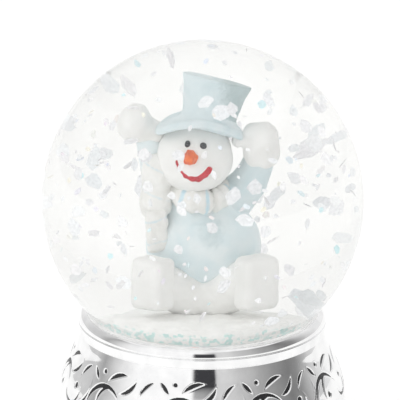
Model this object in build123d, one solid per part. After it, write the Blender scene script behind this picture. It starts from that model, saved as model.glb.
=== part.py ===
"""Small snow globe: a liquid-filled glass ball on a silver-plated, engraved resin base.

A seated snowman with raised arms is glued on a rubber neck plug inside the ball.
Millimetres, +Z up, origin at the centre of the underside, the front faces -Y.
"""

from build123d import *
import math
import os

# ---- Driving dimensions -------------------------------------------------------------
BALL_RADIUS = 22.5
OVERALL_HEIGHT = 65.0
GLASS_WALL = 1.0
BALL_Z = OVERALL_HEIGHT - BALL_RADIUS  # height of the ball's centre

NECK_RADIUS = 13.2  # outside of the glass neck
NECK_BORE = NECK_RADIUS - GLASS_WALL
NECK_END_Z = 17.6

PAD_THICKNESS = 1.0
PAD_RADIUS = 19.5
BELLY_RADIUS = 20.35
BELLY_Z = 13.6  # height of the belly's widest ring
FOOT_RADIUS = 20.95
COLLAR_RADIUS = 17.45
BAND_TOP_Z = 25.1
BAND_LOW_Z = 23.8
COLLAR_TOP_Z = 26.75
SEAT_BORE = 15.0  # well in the base that takes the underside of the ball
LEDGE_Z = 22.0
LEDGE_BORE = 13.6
CAVITY_RADIUS = 16.25
CAVITY_TOP_Z = 20.0

PLUG_TOP_Z = 26.6  # the figure's mound stands on this face
PLUG_SHOULDER_Z = 24.3
PLUG_FLANGE_RADIUS = 14.2
PLUG_FLANGE_LOW_Z = 15.8
PLATFORM_RADIUS = 11.4

MOUND_RADIUS = 11.6
LIQUID_GAP = 0.1  # the liquid solid's play inside the glass, so that it turns freely

ENAMEL_DEPTH = 0.3
SCROLL_COUNT = 10
SCROLL_Z = 17.6  # middle height of the engraved frieze

HEAD_RADIUS = 4.1
HEAD = Vector(-0.8, -1.2, 48.0)
BRIM_CENTRE = (-0.4, -1.0, 52.05)
BRIM_LEAN = (3.0, 16.0)  # degrees to the viewer's right and backwards
CROWN_FOOT = (0.4, -0.6, 51.5)
CROWN_LEAN = (13.5, 26.0)


# ---- Small helpers ------------------------------------------------------------------
def under_ball(ball_radius, radius):
    """Height of a sphere about the ball's centre where its lower half has the given radius."""
    return BALL_Z - math.sqrt(ball_radius**2 - radius**2)


def ellipsoid(centre, radii, rotation=(0, 0, 0)):
    """An ellipsoid with the given half axes, turned about its own centre."""
    body = scale(Sphere(1), by=radii)
    return Pos(*centre) * Rot(*rotation) * body


def largest(shape):
    """The biggest solid of a boolean result, without crumbs cut off by a neighbour."""
    return max(shape.solids(), key=lambda s: s.volume)


def without(body, *others):
    """body with every neighbour's space taken out, so that the pieces meet face to face."""
    solids = [solid for other in others for solid in other.solids()]
    return largest(Compound(body.solids()).cut(*solids))


def turned(points):
    """The ring made by turning a closed outline of (radius, height) about the Z axis."""
    outline = make_face(Polyline(*points, close=True))
    return revolve(Plane.XZ * outline, Axis.Z)


def capsule(start, end, radius_start, radius_end):
    """A limb: a cone between two spheres."""
    start, end = Vector(*start), Vector(*end)
    along = end - start
    cone = Plane(origin=(start + end) / 2, z_dir=along) * Cone(radius_start, radius_end, along.length)
    return Pos(*start) * Sphere(radius_start) + cone + Pos(*end) * Sphere(radius_end)


# ---- Glass, plug, seal, pad ---------------------------------------------------------
def glass_globe():
    """Blown ball, open at a straight neck below."""
    inner = BALL_RADIUS - GLASS_WALL
    outer_join = under_ball(BALL_RADIUS, NECK_RADIUS)
    inner_join = under_ball(inner, NECK_BORE)
    with BuildPart() as glass:
        with BuildSketch(Plane.XZ):
            with BuildLine():
                ThreePointArc((0, OVERALL_HEIGHT), (BALL_RADIUS, BALL_Z), (NECK_RADIUS, outer_join))
                Polyline(
                    (NECK_RADIUS, outer_join),
                    (NECK_RADIUS, NECK_END_Z),
                    (NECK_BORE, NECK_END_Z),
                    (NECK_BORE, inner_join),
                )
                ThreePointArc((NECK_BORE, inner_join), (inner, BALL_Z), (0, BALL_Z + inner))
                Line((0, BALL_Z + inner), (0, OVERALL_HEIGHT))
            make_face()
        revolve(axis=Axis.Z)
    return glass.part


def neck_plug():
    """Rubber stopper: sealing ribs in the neck, a flange under its end, a raised platform above."""
    rib, rib_half = 0.25, 0.45
    body_radius = NECK_BORE - rib
    points = [
        (0, PLUG_TOP_Z),
        (PLATFORM_RADIUS, PLUG_TOP_Z),
        (PLATFORM_RADIUS, PLUG_SHOULDER_Z),
        (body_radius, PLUG_SHOULDER_Z),
    ]
    for height in (23.1, 21.1, 19.1):
        points += [
            (body_radius, height + rib_half),
            (NECK_BORE, height + rib_half / 3),
            (NECK_BORE, height - rib_half / 3),
            (body_radius, height - rib_half),
        ]
    recess_radius, recess_z = 8.5, 21.5
    points += [
        (body_radius, NECK_END_Z),
        (PLUG_FLANGE_RADIUS, NECK_END_Z),
        (PLUG_FLANGE_RADIUS, PLUG_FLANGE_LOW_Z),
        (recess_radius, PLUG_FLANGE_LOW_Z),
        (recess_radius - 0.8, recess_z),
        (0, recess_z),
    ]
    return turned(points)


def seat_adhesive():
    """Clear silicone between the ball's underside, the neck and the well in the base."""
    join, top = under_ball(BALL_RADIUS, NECK_RADIUS), under_ball(BALL_RADIUS, SEAT_BORE)
    middle = (NECK_RADIUS + SEAT_BORE) / 2
    with BuildPart() as ring:
        with BuildSketch(Plane.XZ):
            with BuildLine():
                Polyline((NECK_RADIUS, join), (NECK_RADIUS, LEDGE_Z), (SEAT_BORE, LEDGE_Z), (SEAT_BORE, top))
                ThreePointArc((SEAT_BORE, top), (middle, under_ball(BALL_RADIUS, middle)), (NECK_RADIUS, join))
            make_face()
        revolve(axis=Axis.Z)
    return ring.part


def underside_pad():
    """Anti-slip rubber disc glued over the base's hollow."""
    pad = Pos(0, 0, PAD_THICKNESS / 2) * Cylinder(PAD_RADIUS, PAD_THICKNESS)
    return chamfer(pad.edges().filter_by(GeomType.CIRCLE).group_by(Axis.Z)[0], 0.15)


# ---- Plated base and its engraving --------------------------------------------------
def belly_outline():
    """Outer outline of the base as line objects, from the band down to the foot's top."""
    upper = Spline(
        (17.35, BAND_LOW_Z - 0.12),
        (17.97, 21.7),
        (19.4, 18.4),
        (20.2, 15.8),
        (BELLY_RADIUS, BELLY_Z),
        tangents=[(0.05, -1), (0, -1)],
    )
    lower = Spline(
        (BELLY_RADIUS, BELLY_Z),
        (19.95, 10.6),
        (19.1, 7.6),
        (18.95, 6.0),
        tangents=[(0, -1), (0.15, -1)],
    )
    return upper, lower


def base_shell():
    """Hollow casting: collar roll, flat band, belly, cove and foot ring, one turned profile."""
    groove = 0.16
    with BuildPart() as base:
        with BuildSketch(Plane.XZ):
            with BuildLine():
                # collar roll that hugs the ball
                Line((SEAT_BORE, 25.62), (15.8, 26.36))
                ThreePointArc((15.8, 26.36), (16.4, COLLAR_TOP_Z), (17.05, 26.6))
                ThreePointArc((17.05, 26.6), (COLLAR_RADIUS, 25.9), (17.33, BAND_TOP_Z + groove))
                # groove, flat band, groove
                Polyline(
                    (17.33, BAND_TOP_Z + groove),
                    (17.2, BAND_TOP_Z + groove / 2),
                    (17.47, BAND_TOP_Z - 0.05),
                    (17.51, BAND_LOW_Z + 0.05),
                    (17.25, BAND_LOW_Z),
                    (17.35, BAND_LOW_Z - 0.12),
                )
                belly_outline()
                # cove and foot ring
                ThreePointArc((18.95, 6.0), (19.3, 5.25), (20.05, 4.9))
                Line((20.05, 4.9), (20.25, 4.7))
                ThreePointArc((20.25, 4.7), (FOOT_RADIUS, 3.2), (20.55, 1.5))
                Polyline(
                    (20.55, 1.5),
                    (20.05, PAD_THICKNESS),
                    (CAVITY_RADIUS, PAD_THICKNESS),
                    (CAVITY_RADIUS, 9.0),
                    (16.75, 12.0),
                    (16.75, 16.0),
                    (CAVITY_RADIUS - 0.6, CAVITY_TOP_Z),
                    (LEDGE_BORE, CAVITY_TOP_Z),
                    (LEDGE_BORE, LEDGE_Z),
                    (SEAT_BORE, LEDGE_Z),
                    (SEAT_BORE, 25.62),
                )
            make_face()
        revolve(axis=Axis.Z)
    return base.part


def enamel_shell():
    """A thin skin just under the belly's outer surface, in which the enamel lies."""
    with BuildPart() as skin:
        with BuildSketch(Plane.XZ):
            with BuildLine():
                _, lower = belly_outline()
                Line(lower @ 1, (lower @ 1) + Vector(-ENAMEL_DEPTH, 0))
                Spline(
                    (lower @ 1) + Vector(-ENAMEL_DEPTH, 0),
                    (19.95 - ENAMEL_DEPTH, 10.6),
                    (BELLY_RADIUS - ENAMEL_DEPTH, BELLY_Z),
                    (19.4 - ENAMEL_DEPTH, 18.3),
                    (17.97 - ENAMEL_DEPTH, 21.6),
                    (17.35 - ENAMEL_DEPTH, BAND_LOW_Z - 0.12),
                )
                Line((17.35 - ENAMEL_DEPTH, BAND_LOW_Z - 0.12), (17.35, BAND_LOW_Z - 0.12))
            make_face()
        revolve(axis=Axis.Z)
    return skin.part


def crescent(start, end, bulge_outer, bulge_inner):
    """A pen stroke with pointed ends: the space between two arcs over one chord."""
    (x0, z0), (x1, z1) = start, end
    middle = ((x0 + x1) / 2, (z0 + z1) / 2)
    length = math.hypot(x1 - x0, z1 - z0)
    side = (-(z1 - z0) / length, (x1 - x0) / length)
    arcs = []
    for bulge in (bulge_outer, bulge_inner):
        through = (middle[0] + side[0] * bulge, middle[1] + side[1] * bulge)
        arcs.append(ThreePointArc(start, through, end))
    return make_face(arcs)


def scroll_sketch():
    """One scroll of the frieze, flat: two hooked C strokes, four leaves above them, three berries."""
    strokes = [
        crescent((-6.0, -1.3), (-0.1, 0.6), 2.75, 2.15) + crescent((-1.3, 1.95), (-3.9, -0.7), -1.35, -0.95),
        crescent((0.1, -0.6), (6.0, 1.3), -2.75, -2.15) + crescent((1.3, -1.95), (3.9, 0.7), -1.35, -0.95),
    ]
    leaves = [
        crescent((-2.6, 2.9), (0.4, 4.15), 0.65, 0.05),
        crescent((-0.2, 1.7), (2.0, 3.7), -0.75, -0.15),
        crescent((-4.5, 2.6), (-5.6, 4.1), 0.3, -0.25),
        crescent((3.0, 2.0), (4.6, 3.9), 0.55, 0.05),
    ]
    berries = [
        Pos(x, z) * Circle(radius) for x, z, radius in ((-2.75, -0.55, 0.42), (2.75, 0.55, 0.42), (-3.6, 3.9, 0.3))
    ]
    return strokes + leaves + berries


def base_enamel():
    """Black enamel let into the belly's surface, flush with the plating: one solid per pen stroke."""
    skin = enamel_shell()
    front = Plane(origin=(0, -BELLY_RADIUS - 2, SCROLL_Z), x_dir=(1, 0, 0), z_dir=(0, -1, 0))
    blocks = [extrude(front * stroke, amount=-8) for stroke in scroll_sketch()]
    pieces = []
    for number in range(SCROLL_COUNT):
        turn = Rot(0, 0, 360 / SCROLL_COUNT * number)
        for block in blocks:
            pieces += (turn * block & skin).solids()
    return pieces


# ---- Snowman ------------------------------------------------------------------------
def on_head(side, up, out=HEAD_RADIUS):
    """A point on the face, given by angles in degrees to the viewer's right and upwards."""
    az, el = math.radians(side), math.radians(up)
    return HEAD + Vector(math.sin(az) * math.cos(el), -math.cos(az) * math.cos(el), math.sin(el)) * out


def leaning(origin, lean):
    """A frame at origin whose Z axis leans to the viewer's right and backwards."""
    side, back = (math.radians(angle) for angle in lean)
    axis = Vector(math.sin(side), math.sin(back) * math.cos(side), math.cos(back) * math.cos(side))
    return Plane(origin=origin, x_dir=Vector(1, 0, -math.tan(side)), z_dir=axis)


def hat_brim_blank():
    """Round brim cut from a sleeve lying front to back, so that its sides droop."""
    brim_radius, droop_radius, thickness = 4.8, 7.5, 0.8
    sleeve = Cylinder(droop_radius, 12) - Cylinder(droop_radius - thickness, 12)
    sleeve = Pos(0, 0, -droop_radius + thickness) * Rot(90, 0, 0) * sleeve
    return largest(leaning(BRIM_CENTRE, BRIM_LEAN) * (sleeve & Cylinder(brim_radius, 6)))


def hat_crown_blank():
    """Crown that widens towards its flat top."""
    low_radius, top_radius, height = 2.8, 3.95, 5.25
    crown = Pos(0, 0, height / 2) * Cone(low_radius, top_radius, height)
    crown = fillet(crown.edges().filter_by(GeomType.CIRCLE).sort_by(Axis.Z)[-1], 0.3)
    return leaning(CROWN_FOOT, CROWN_LEAN) * crown


def mouth_blank():
    """A smile: a thin round bead bent over the lower face."""
    path = ThreePointArc(on_head(-32, 7), on_head(-2, -20), on_head(21, -3))
    return sweep(Plane(path @ 0, z_dir=path % 0) * Circle(0.3), path)


def snowman():
    """Every piece of the figure by name, cut so that neighbours meet face to face."""
    parts = {}
    head = Pos(*HEAD) * Sphere(HEAD_RADIUS)
    parts["head"] = head
    nose_root, nose_tip = on_head(-8, 17, HEAD_RADIUS - 0.5), on_head(-11, 15, HEAD_RADIUS + 1.1)
    parts["nose"] = without(capsule(nose_root, nose_tip, 0.85, 0.45), head)
    parts["eyes"] = [
        without(ellipsoid(on_head(side, up), (0.28, 0.28, 0.4)), head) for side, up in ((-18, 37), (13, 36))
    ]
    parts["mouth"] = without(mouth_blank(), head, parts["nose"])

    brim = without(hat_brim_blank(), head)
    crown = without(hat_crown_blank(), brim, head)
    parts["hat_brim"], parts["hat_crown"] = brim, crown

    wrap = without(Pos(-0.3, -0.6, 43.7) * Rot(8, 4, 0) * scale(Torus(2.35, 1.2), by=(1.0, 1.12, 1.12)), head)
    wrap_core = Pos(-0.2, -0.4, 43.5) * Cylinder(2.4, 2.0)
    wrap = without(wrap + wrap_core, head)
    fold = without(ellipsoid((-5.0, -1.6, 44.5), (1.8, 1.7, 3.7), (0, 6, 0)), head, wrap)
    tail_block = fillet(Box(2.3, 1.3, 5.6).edges(), 0.45)
    tail = without(Pos(-4.75, -2.9, 39.6) * Rot(6, -6, 12) * tail_block, fold, wrap)
    parts["scarf_wrap"], parts["scarf_fold"], parts["scarf_tail"] = wrap, fold, tail
    scarf = (wrap, fold, tail)

    lower_coat = ellipsoid((0.3, 0.4, 37.6), (5.7, 4.7, 5.2))
    upper_coat = Pos(0.1, 0.3, 41.5) * Cone(5.0, 2.9, 5.0)
    coat = without(lower_coat + upper_coat, head, *scarf)
    parts["coat"] = coat

    around_sleeves = (coat, head, brim, *scarf)
    sleeve_right = without(capsule((3.3, 0.3, 42.3), (5.9, 0.0, 46.8), 2.1, 1.55), *around_sleeves)
    sleeve_left = without(capsule((-3.4, 0.8, 43.0), (-5.8, 0.4, 48.7), 2.0, 1.45), *around_sleeves)
    parts["sleeve_left"], parts["sleeve_right"] = sleeve_left, sleeve_right

    # the palm is turned by 150 so that the seam of its surface lies away from the cuff
    hand_left = ellipsoid((-7.6, 0.1, 51.4), (1.95, 1.85, 2.3), (0, 10, 150))
    thumb_left = capsule((-6.8, 0.2, 50.7), (-5.2, 0.1, 50.2), 1.6, 1.25)
    hand_right = ellipsoid((6.2, -0.4, 48.9), (2.15, 2.0, 2.65), (0, -6, 0))
    thumb_right = capsule((4.9, -0.85, 49.95), (3.65, -1.25, 49.55), 0.9, 0.65)
    around_hands = (sleeve_left, sleeve_right, brim, head, coat, *scarf)
    parts["mitten_left"] = without(hand_left + thumb_left, *around_hands)
    parts["mitten_right"] = without(hand_right + thumb_right, *around_hands)

    boots = {
        "boot_left": Pos(-5.5, -5.9, 34.5) * Rot(0, 0, -38) * fillet(Box(4.1, 3.7, 6.0).edges(), 1.05),
        "boot_right": Pos(5.95, -5.4, 34.6) * Rot(0, 0, 34) * fillet(Box(4.3, 3.7, 6.2).edges(), 1.15),
    }
    for name, blank in boots.items():
        parts[name] = without(blank, coat)
    both_boots = (parts["boot_left"], parts["boot_right"])
    leg_left = capsule((-1.6, -1.9, 33.2), (-4.5, -4.5, 34.4), 2.5, 2.3)
    leg_right = capsule((1.6, -1.9, 33.2), (5.2, -4.0, 34.6), 2.5, 2.45)
    parts["legs"] = without(leg_left + leg_right, coat, *both_boots)
    return parts


def snow_mound(figure):
    """The figure's own foot: a low white drift, with the seat, legs and boots let into it."""
    with BuildPart() as mound:
        with BuildSketch(Plane.XZ):
            with BuildLine():
                Polyline((0, 31.2), (0, PLUG_TOP_Z), (MOUND_RADIUS - 0.3, PLUG_TOP_Z), (MOUND_RADIUS, 27.0))
                ThreePointArc((MOUND_RADIUS, 27.0), (11.25, 28.9), (10.0, 30.1))
                ThreePointArc((10.0, 30.1), (5.1, 30.95), (0, 31.2))
            make_face()
        revolve(axis=Axis.Z)
    return without(mound.part, *(figure[name] for name in ("coat", "legs", "boot_left", "boot_right")))


# ---- Liquid and flakes --------------------------------------------------------------
# Outline that clears the figure all round, as (radius, height): the liquid turns about it.
FIGURE_CLEARANCE = [
    (0.0, 58.6),
    (6.5, 58.6),
    (6.5, 54.8),
    (10.3, 54.8),
    (10.3, 45.4),
    (7.7, 44.6),
    (7.7, 39.4),
    (11.8, 38.8),
]


def liquid():
    """Water and glycol between the glass and the figure's clearance."""
    radius = BALL_RADIUS - GLASS_WALL - LIQUID_GAP
    inner_radius = FIGURE_CLEARANCE[-1][0]
    floor_z = under_ball(radius, inner_radius)
    with BuildPart() as fill:
        with BuildSketch(Plane.XZ):
            with BuildLine():
                Polyline((0, BALL_Z + radius), *FIGURE_CLEARANCE, (inner_radius, floor_z))
                ThreePointArc((inner_radius, floor_z), (radius, BALL_Z), (0, BALL_Z + radius))
            make_face()
        revolve(axis=Axis.Z)
    return fill.part


def flake(place, size, tilt, corners):
    """One flake: a thin film cut with a few straight sides."""
    thickness = 0.12
    return Pos(*place) * Rot(*tilt) * extrude(RegularPolygon(size, corners), amount=thickness)


def drifting_flakes(count, first, corners, size):
    """Flakes spread through the liquid by the golden angle, clear of the figure at every turn."""
    golden = 137.508
    flakes = []
    for number in range(count):
        step = number + first
        height = 30.0 + 29.0 * ((step * 0.618034) % 1.0)
        reach = math.sqrt((BALL_RADIUS - GLASS_WALL - 1.4) ** 2 - (height - BALL_Z) ** 2)
        clear = 12.9 if height < 40.2 else 11.4
        radius = clear + (reach - clear) * ((step * 0.754878) % 1.0)
        angle = math.radians(golden * step)
        place = (radius * math.cos(angle), radius * math.sin(angle), height)
        tilt = (step * 47 % 180, step * 71 % 180, step * 29 % 180)
        flakes.append(flake(place, size * (0.75 + 0.5 * ((step * 0.37) % 1.0)), tilt, corners))
    return flakes


def settled_flakes():
    """Flakes lying in the gutter between the mound's platform and the glass."""
    radius, count = 12.75, 30
    rest_z = under_ball(BALL_RADIUS - GLASS_WALL - 0.05, radius + 0.45)
    flakes = []
    for number in range(count):
        angle = 360 / count * number
        lean = -math.degrees(math.asin(radius / (BALL_RADIUS - GLASS_WALL)))
        at_front = Pos(radius, 0, rest_z + 0.4) * Rot(0, lean, 0) * extrude(RegularPolygon(0.42, 6), amount=0.12)
        flakes.append(Rot(0, 0, angle) * at_front)
    return flakes


# ---- Assembly -----------------------------------------------------------------------
def build():
    """Every node by name, as one solid or a list of separate solids."""
    figure = snowman()
    nodes = {
        "base_shell": base_shell(),
        "base_enamel": base_enamel(),
        "seat_adhesive": seat_adhesive(),
        "underside_pad": underside_pad(),
        "glass_globe": glass_globe(),
        "neck_plug": neck_plug(),
        "snow_mound": snow_mound(figure),
        "liquid": liquid(),
        "white_flakes": drifting_flakes(40, 1, 5, 0.6),
        "glitter_flakes": drifting_flakes(24, 101, 4, 0.5),
        "settled_flakes": settled_flakes(),
    }
    nodes.update(figure)
    return nodes


def main():
    os.makedirs("parts", exist_ok=True)
    for name, shape in build().items():
        solids = shape if isinstance(shape, list) else shape.solids()
        whole = solids[0] if len(solids) == 1 else Compound(list(solids))
        whole.label = name
        export_step(whole, f"parts/{name}.step")


main()
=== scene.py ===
"""Looks of a small snow globe: a seated snowman in a liquid-filled glass ball on an engraved silver base.

Lengths are in millimetres until a mesh is finished, and then in metres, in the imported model's frame.
The viewer's left is -X, the figure faces -Y, +Z is up.
"""

import math

import bpy
import numpy as np
from mathutils import Matrix, Vector


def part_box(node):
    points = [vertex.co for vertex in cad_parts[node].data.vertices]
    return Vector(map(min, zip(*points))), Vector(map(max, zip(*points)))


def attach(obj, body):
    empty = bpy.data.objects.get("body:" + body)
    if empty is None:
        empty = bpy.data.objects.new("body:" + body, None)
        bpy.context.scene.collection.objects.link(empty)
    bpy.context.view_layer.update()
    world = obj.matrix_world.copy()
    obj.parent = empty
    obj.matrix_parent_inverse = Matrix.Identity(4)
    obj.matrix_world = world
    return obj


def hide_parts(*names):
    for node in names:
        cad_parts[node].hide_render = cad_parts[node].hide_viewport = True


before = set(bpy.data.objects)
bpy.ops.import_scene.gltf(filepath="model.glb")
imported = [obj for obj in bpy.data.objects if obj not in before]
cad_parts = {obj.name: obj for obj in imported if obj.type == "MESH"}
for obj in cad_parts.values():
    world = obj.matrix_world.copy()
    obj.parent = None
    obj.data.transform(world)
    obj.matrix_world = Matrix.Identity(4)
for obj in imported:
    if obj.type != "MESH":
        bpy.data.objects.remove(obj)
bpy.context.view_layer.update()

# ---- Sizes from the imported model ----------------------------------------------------
MM = 0.001


def box_mm(node):
    """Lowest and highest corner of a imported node, in millimetres."""
    low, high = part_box(node)
    return np.array(low) / MM, np.array(high) / MM


def middle_mm(node):
    """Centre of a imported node's box, in millimetres."""
    low, high = box_mm(node)
    return (low + high) / 2


GLOBE_LOW, GLOBE_HIGH = box_mm("glass_globe")
BALL_RADIUS = 22.5
BALL_Z = GLOBE_HIGH[2] - BALL_RADIUS
GLASS_WALL = 1.0
INNER_RADIUS = BALL_RADIUS - GLASS_WALL
SEAT_RADIUS = -box_mm("seat_adhesive")[0][0]
SEAT_LEDGE = 22.02
NECK_RADIUS = SEAT_RADIUS - 1.8
HEAD = middle_mm("head")
HEAD_RADIUS = (box_mm("head")[1][0] - box_mm("head")[0][0]) / 2
MOUND_LOW, MOUND_HIGH = box_mm("snow_mound")
MOUND_RADIUS = MOUND_HIGH[0]

BRIM_CENTRE, BRIM_LEAN = (-0.4, -1.0, 52.05), (3.0, 16.0)  # leans to the viewer's right and backwards
CROWN_FOOT, CROWN_LEAN = (0.4, -0.6, 51.5), (13.5, 26.0)
CROWN_HEIGHT = 5.25


# ---- Meshes -------------------------------------------------------------------------
def link_mesh(name, vertices, faces, smooth=True):
    """A new object from points in millimetres and faces, in metres."""
    mesh = bpy.data.meshes.new(name)
    points = (np.asarray(vertices, float) * MM).tolist()
    mesh.from_pydata(points, [], [list(face) for face in faces])
    mesh.update()
    piece = bpy.data.objects.new(name, mesh)
    bpy.context.scene.collection.objects.link(piece)
    if smooth:
        mesh.shade_smooth()
    return piece


def lathe(name, profile, segments=256):
    """A closed ring or body turned about Z from an outline of (radius, height)."""
    outline = np.asarray(profile, float)
    following = np.roll(outline, -1, 0)
    if np.sum(outline[:, 0] * following[:, 1] - following[:, 0] * outline[:, 1]) < 0:
        outline = outline[::-1]
    angles = np.linspace(0, 2 * math.pi, segments, endpoint=False)
    on_axis = outline[:, 0] < 1e-6
    vertices, rings = [], []
    for (radius, height), axial in zip(outline, on_axis):
        start = len(vertices)
        turns = [0.0] if axial else angles
        vertices += [(radius * math.cos(a), radius * math.sin(a), height) for a in turns]
        rings.append([start] * segments if axial else list(range(start, start + segments)))
    faces = []
    for low, high in zip(rings, rings[1:] + rings[:1]):
        if low[0] == low[1] and high[0] == high[1]:
            continue
        for k in range(segments):
            n = (k + 1) % segments
            corners = [low[k], low[n], high[n], high[k]]
            faces.append(list(dict.fromkeys(corners)))
    return link_mesh(name, vertices, faces)


def surface_net(distance, low, high, step):
    """Vertices and quads of the surface where distance(points) is zero, from a regular grid."""
    low, high = np.asarray(low, float), np.asarray(high, float)
    count = np.ceil((high - low) / step).astype(int) + 1
    axes = [low[i] + step * np.arange(count[i]) for i in range(3)]
    grid = np.stack(np.meshgrid(*axes, indexing="ij"), -1)
    field = distance(grid.reshape(-1, 3)).reshape(count)
    for axis in range(3):
        np.moveaxis(field, axis, 0)[[0, -1]] = step
    cells = count - 1
    total, hits = np.zeros((*cells, 3)), np.zeros(cells)
    crossings = {}
    for axis in range(3):
        u, v = (axis + 1) % 3, (axis + 2) % 3
        near = np.moveaxis(field, axis, 0)[:-1]
        far = np.moveaxis(field, axis, 0)[1:]
        crossed = (near < 0) != (far < 0)
        share = np.where(crossed, near / np.where(near == far, 1, near - far), 0)
        crossed, share = (np.moveaxis(a, 0, axis) for a in (crossed, share))
        crossings[axis] = (crossed, np.moveaxis(near < 0, 0, axis))
        for du in (0, 1):
            for dv in (0, 1):
                cut = [slice(None)] * 3
                cut[u] = slice(du, du + cells[u])
                cut[v] = slice(dv, dv + cells[v])
                here, part = crossed[tuple(cut)], share[tuple(cut)]
                hits += here
                total[..., axis] += part
                total[..., u] += du * here
                total[..., v] += dv * here
    used = hits > 0
    number = np.full(cells, -1)
    number[used] = np.arange(used.sum())
    corner = np.argwhere(used)
    vertices = low + step * (corner + total[used] / hits[used][:, None])
    faces = []
    for axis in range(3):
        u, v = (axis + 1) % 3, (axis + 2) % 3
        crossed, starts_inside = crossings[axis]
        cut = [slice(None)] * 3
        cut[u], cut[v] = slice(1, -1), slice(1, -1)
        places = np.argwhere(crossed[tuple(cut)])
        places[:, u] += 1
        places[:, v] += 1
        if not len(places):
            continue
        ring = []
        for du, dv in ((1, 1), (0, 1), (0, 0), (1, 0)):
            shifted = places.copy()
            shifted[:, u] -= du
            shifted[:, v] -= dv
            ring.append(number[tuple(shifted.T)])
        quads = np.stack(ring, -1)
        flip = ~starts_inside[tuple(places.T)]
        quads[flip] = quads[flip][:, ::-1]
        faces.append(quads)
    return vertices, np.concatenate(faces)


def relax(vertices, faces, rounds=3, share=0.5):
    """Evens out a net by moving each vertex towards the mean of its neighbours."""
    edges = np.concatenate([faces[:, [k, (k + 1) % 4]] for k in range(4)])
    edges = np.concatenate([edges, edges[:, ::-1]])
    degree = np.bincount(edges[:, 0], minlength=len(vertices))[:, None]
    for _ in range(rounds):
        summed = np.zeros_like(vertices)
        np.add.at(summed, edges[:, 0], vertices[edges[:, 1]])
        vertices = vertices + share * (summed / degree - vertices)
    return vertices


def sculpt(name, distance, low, high, step=0.14, rounds=3):
    """An object of the shape where distance(points) is negative."""
    vertices, faces = surface_net(distance, np.asarray(low) - 3 * step, np.asarray(high) + 3 * step, step)
    return link_mesh(name, relax(vertices, faces, rounds), faces)


# ---- Shapes as distances ------------------------------------------------------------
def turn(points, centre=(0, 0, 0), x=0.0, y=0.0, z=0.0):
    """Points as seen from a frame at centre that is turned by x, then y, then z degrees."""
    matrix = np.array(
        Matrix.Rotation(math.radians(z), 3, "Z")
        @ Matrix.Rotation(math.radians(y), 3, "Y")
        @ Matrix.Rotation(math.radians(x), 3, "X")
    )
    return (points - np.asarray(centre, float)) @ matrix


def egg(points, centre, radii, **turned):
    """Ellipsoid: close to a true distance near its surface."""
    p = turn(points, centre, **turned)
    radii = np.asarray(radii, float)
    k0 = np.linalg.norm(p / radii, axis=1)
    k1 = np.linalg.norm(p / radii**2, axis=1)
    return k0 * (k0 - 1) / np.maximum(k1, 1e-9)


def limb(points, start, end, r_start, r_end):
    """Cone between two balls."""
    start, end = np.asarray(start, float), np.asarray(end, float)
    along = end - start
    t = np.clip((points - start) @ along / (along @ along), 0, 1)
    nearest = start + t[:, None] * along
    return np.linalg.norm(points - nearest, axis=1) - (r_start + (r_end - r_start) * t)


def path_limb(points, route, radii):
    """A bead along a route, with a radius at each of its points."""
    spans = zip(route, route[1:], radii, radii[1:])
    return np.min([limb(points, a, b, ra, rb) for a, b, ra, rb in spans], axis=0)


def brick(points, centre, half, rounding, **turned):
    """Rounded box."""
    q = np.abs(turn(points, centre, **turned)) - (np.asarray(half, float) - rounding)
    outside = np.linalg.norm(np.maximum(q, 0), axis=1)
    return outside + np.minimum(q.max(axis=1), 0) - rounding


def join(a, b, blend):
    """Union with a fillet of about blend."""
    h = np.clip(0.5 + 0.5 * (b - a) / blend, 0, 1)
    return b + (a - b) * h - blend * h * (1 - h)


def carve(a, b, blend):
    """a with b taken out, with a rounded edge of about blend."""
    return -join(-a, b, blend)


def hump(values, centre, width):
    """1 at the centre, falling smoothly to 0 over about the width on each side."""
    return np.exp(-(((values - centre) / width) ** 2))


def ripple(points, size, seed):
    """Smooth noise from -1 to 1 with features of about the given size."""
    rng = np.random.default_rng(seed)
    value = np.zeros(len(points))
    for _ in range(9):
        direction = rng.normal(size=3)
        direction /= np.linalg.norm(direction)
        pitch = size * rng.uniform(0.7, 1.5)
        value += np.sin(points @ direction * (2 * math.pi / pitch) + rng.uniform(0, 2 * math.pi))
    return value / 4.5


# ---- Shader helpers -----------------------------------------------------------------
def material(name):
    """A new node material: the tree, its Principled shader and its output."""
    made = bpy.data.materials.new(name)
    made.use_nodes = True
    tree = made.node_tree
    return made, tree, tree.nodes["Principled BSDF"], tree.nodes["Material Output"]


def set_inputs(made, values):
    """Sets a node's inputs, by socket name."""
    for name, value in values.items():
        made.inputs[name].default_value = value


def feed(shader, name, value):
    """Links a socket to one of a shader's inputs."""
    shader.id_data.links.new(value, shader.inputs[name])


def node(tree, kind, inputs=None, **settings):
    """A new node with its settings and, by socket name, its inputs."""
    made = tree.nodes.new(kind)
    for key, value in settings.items():
        setattr(made, key, value)
    set_inputs(made, inputs or {})
    return made


def place(tree, scale=1.0):
    """Object coordinates in millimetres times scale."""
    coordinates = node(tree, "ShaderNodeTexCoord")
    mapping = node(tree, "ShaderNodeMapping", {"Scale": [scale / MM] * 3})
    tree.links.new(coordinates.outputs["Object"], mapping.inputs["Vector"])
    return mapping.outputs["Vector"]


def noise(tree, vector, scale, detail=4.0, roughness=0.55, distortion=0.0):
    """Smooth noise; the scale is in features per millimetre."""
    values = {"Scale": scale, "Detail": detail, "Roughness": roughness, "Distortion": distortion}
    made = node(tree, "ShaderNodeTexNoise", values)
    tree.links.new(vector, made.inputs["Vector"])
    return made.outputs["Fac"]


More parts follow.
